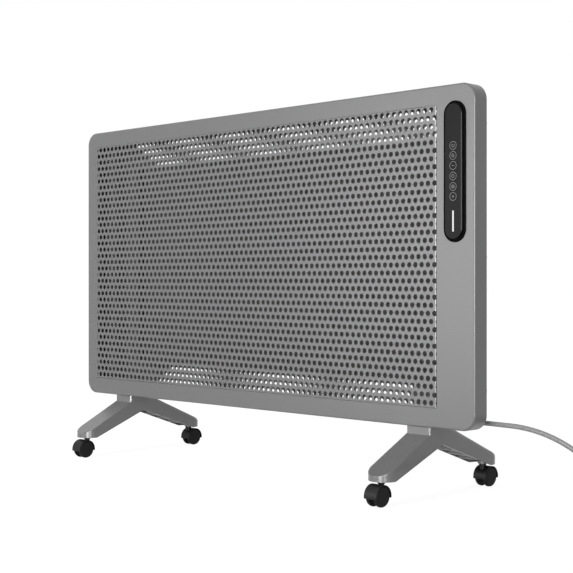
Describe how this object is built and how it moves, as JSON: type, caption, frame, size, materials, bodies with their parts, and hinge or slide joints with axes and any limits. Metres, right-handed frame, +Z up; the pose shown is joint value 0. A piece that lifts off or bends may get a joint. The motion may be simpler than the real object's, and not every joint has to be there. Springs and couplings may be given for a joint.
{
  "type": "convector panel heater",
  "caption": "Slim upright panel heater with a perforated front, a touch control strip, a vented rear cover and two legs on swivel casters.",
  "frame": {"origin": "on the floor under the middle of the heater, midway between its front and rear casters", "axes": "+X to the right seen from the front, +Y to the rear, +Z up"},
  "size_m": [0.9835, 0.348, 0.547],
  "materials": {
    "frame_paint": "satin",
    "grille_paint": "satin",
    "cover_paint": "satin",
    "screw_steel": "zinc plated",
    "mica": "smooth mineral sheet",
    "foil_steel": "etched foil",
    "rail_steel": "zinc coated",
    "ceramic": "unglazed ceramic",
    "reflector_sheet": "bright",
    "cutout_metal": "satin",
    "bezel_plastic": "gloss black",
    "touch_plate": "satin dark grey",
    "light_window": "diffusing white",
    "circuit_board": "solder mask",
    "ribbon_plastic": "matt",
    "spacer_plastic": "natural nylon",
    "relay_plastic": "moulded",
    "capacitor_film": "sleeved",
    "terminal_plastic": "moulded",
    "switch_plastic": "moulded",
    "pendulum_metal": "turned",
    "wire_jacket": "matt",
    "leg_plastic": "fine grain",
    "plate_steel": "zinc plated",
    "stem_steel": "dark plated",
    "hood_plastic": "moulded black",
    "wheel_plastic": "moulded black",
    "gland_rubber": "matt",
    "cord_jacket": "matt",
    "tie_plastic": "matt",
    "plug_plastic": "moulded",
    "pin_metal": "nickel plated"
  },
  "bodies": {
    "casing": {"front_frame": "frame_paint", "front_grille": "grille_paint", "rear_cover": "cover_paint", "cover_screws": "screw_steel", "mica_front": "mica", "heating_foil": "foil_steel", "mica_back": "mica", "element_rail_left": "rail_steel", "element_rail_right": "rail_steel", "element_spacers": "ceramic", "heat_reflector": "reflector_sheet", "thermal_cutout": "cutout_metal", "thermal_fuse": "ceramic", "control_bezel": "bezel_plastic", "touch_panel": "touch_plate", "light_bar": "light_window", "touch_board": "circuit_board", "control_ribbon": "ribbon_plastic", "power_board": "circuit_board", "board_spacers": "spacer_plastic", "board_screws": "screw_steel", "heater_relay": "relay_plastic", "filter_capacitor": "capacitor_film", "terminal_block": "terminal_plastic", "tip_switch_case": "switch_plastic", "tip_switch_pin": "screw_steel", "room_sensor": "switch_plastic", "internal_wiring": "wire_jacket", "leg_left": "leg_plastic", "leg_right": "leg_plastic", "leg_screws": "screw_steel", "leg_nut_plates": "plate_steel", "cord_gland": "gland_rubber", "mains_lead": "cord_jacket", "lead_coil": "cord_jacket", "coil_tie": "tie_plastic", "plug_body": "plug_plastic", "plug_pins": "pin_metal", "caster_front_left_stem": "stem_steel", "caster_front_right_stem": "stem_steel", "caster_rear_left_stem": "stem_steel", "caster_rear_right_stem": "stem_steel"},
    "swivel_front_left": {"caster_front_left_hood": "hood_plastic", "caster_front_left_axle": "stem_steel"},
    "wheel_front_left_left": {"caster_front_left_wheel_left": "wheel_plastic"},
    "wheel_front_left_right": {"caster_front_left_wheel_right": "wheel_plastic"},
    "swivel_front_right": {"caster_front_right_hood": "hood_plastic", "caster_front_right_axle": "stem_steel"},
    "wheel_front_right_left": {"caster_front_right_wheel_left": "wheel_plastic"},
    "wheel_front_right_right": {"caster_front_right_wheel_right": "wheel_plastic"},
    "swivel_rear_left": {"caster_rear_left_hood": "hood_plastic", "caster_rear_left_axle": "stem_steel"},
    "wheel_rear_left_left": {"caster_rear_left_wheel_left": "wheel_plastic"},
    "wheel_rear_left_right": {"caster_rear_left_wheel_right": "wheel_plastic"},
    "swivel_rear_right": {"caster_rear_right_hood": "hood_plastic", "caster_rear_right_axle": "stem_steel"},
    "wheel_rear_right_left": {"caster_rear_right_wheel_left": "wheel_plastic"},
    "wheel_rear_right_right": {"caster_rear_right_wheel_right": "wheel_plastic"},
    "pendulum": {"tip_switch_pendulum": "pendulum_metal"}
  },
  "joints": [
    {"name": "front_left_swivel", "type": "hinge", "parent": "casing", "child": "swivel_front_left", "pos_m": [-0.32, -0.1095, 0.025], "axis": [0, 0, 1], "continuous": true},
    {"name": "front_left_wheel_left_spin", "type": "hinge", "parent": "swivel_front_left", "child": "wheel_front_left_left", "pos_m": [-0.32, -0.1168, 0.014], "axis": [1, 0, 0], "continuous": true},
    {"name": "front_left_wheel_right_spin", "type": "hinge", "parent": "swivel_front_left", "child": "wheel_front_left_right", "pos_m": [-0.32, -0.1168, 0.014], "axis": [1, 0, 0], "continuous": true},
    {"name": "front_right_swivel", "type": "hinge", "parent": "casing", "child": "swivel_front_right", "pos_m": [0.32, -0.1095, 0.025], "axis": [0, 0, 1], "continuous": true},
    {"name": "front_right_wheel_left_spin", "type": "hinge", "parent": "swivel_front_right", "child": "wheel_front_right_left", "pos_m": [0.32, -0.1168, 0.014], "axis": [1, 0, 0], "continuous": true},
    {"name": "front_right_wheel_right_spin", "type": "hinge", "parent": "swivel_front_right", "child": "wheel_front_right_right", "pos_m": [0.32, -0.1168, 0.014], "axis": [1, 0, 0], "continuous": true},
    {"name": "rear_left_swivel", "type": "hinge", "parent": "casing", "child": "swivel_rear_left", "pos_m": [-0.32, 0.1095, 0.025], "axis": [0, 0, 1], "continuous": true},
    {"name": "rear_left_wheel_left_spin", "type": "hinge", "parent": "swivel_rear_left", "child": "wheel_rear_left_left", "pos_m": [-0.32, 0.1168, 0.014], "axis": [1, 0, 0], "continuous": true},
    {"name": "rear_left_wheel_right_spin", "type": "hinge", "parent": "swivel_rear_left", "child": "wheel_rear_left_right", "pos_m": [-0.32, 0.1168, 0.014], "axis": [1, 0, 0], "continuous": true},
    {"name": "rear_right_swivel", "type": "hinge", "parent": "casing", "child": "swivel_rear_right", "pos_m": [0.32, 0.1095, 0.025], "axis": [0, 0, 1], "continuous": true},
    {"name": "rear_right_wheel_left_spin", "type": "hinge", "parent": "swivel_rear_right", "child": "wheel_rear_right_left", "pos_m": [0.32, 0.1168, 0.014], "axis": [1, 0, 0], "continuous": true},
    {"name": "rear_right_wheel_right_spin", "type": "hinge", "parent": "swivel_rear_right", "child": "wheel_rear_right_right", "pos_m": [0.32, 0.1168, 0.014], "axis": [1, 0, 0], "continuous": true},
    {"name": "tip_switch_swing", "type": "hinge", "parent": "casing", "child": "pendulum", "pos_m": [0.39, -0.02275, 0.135], "axis": [1, 0, 0], "range_deg": [-15, 15]}
  ]
}
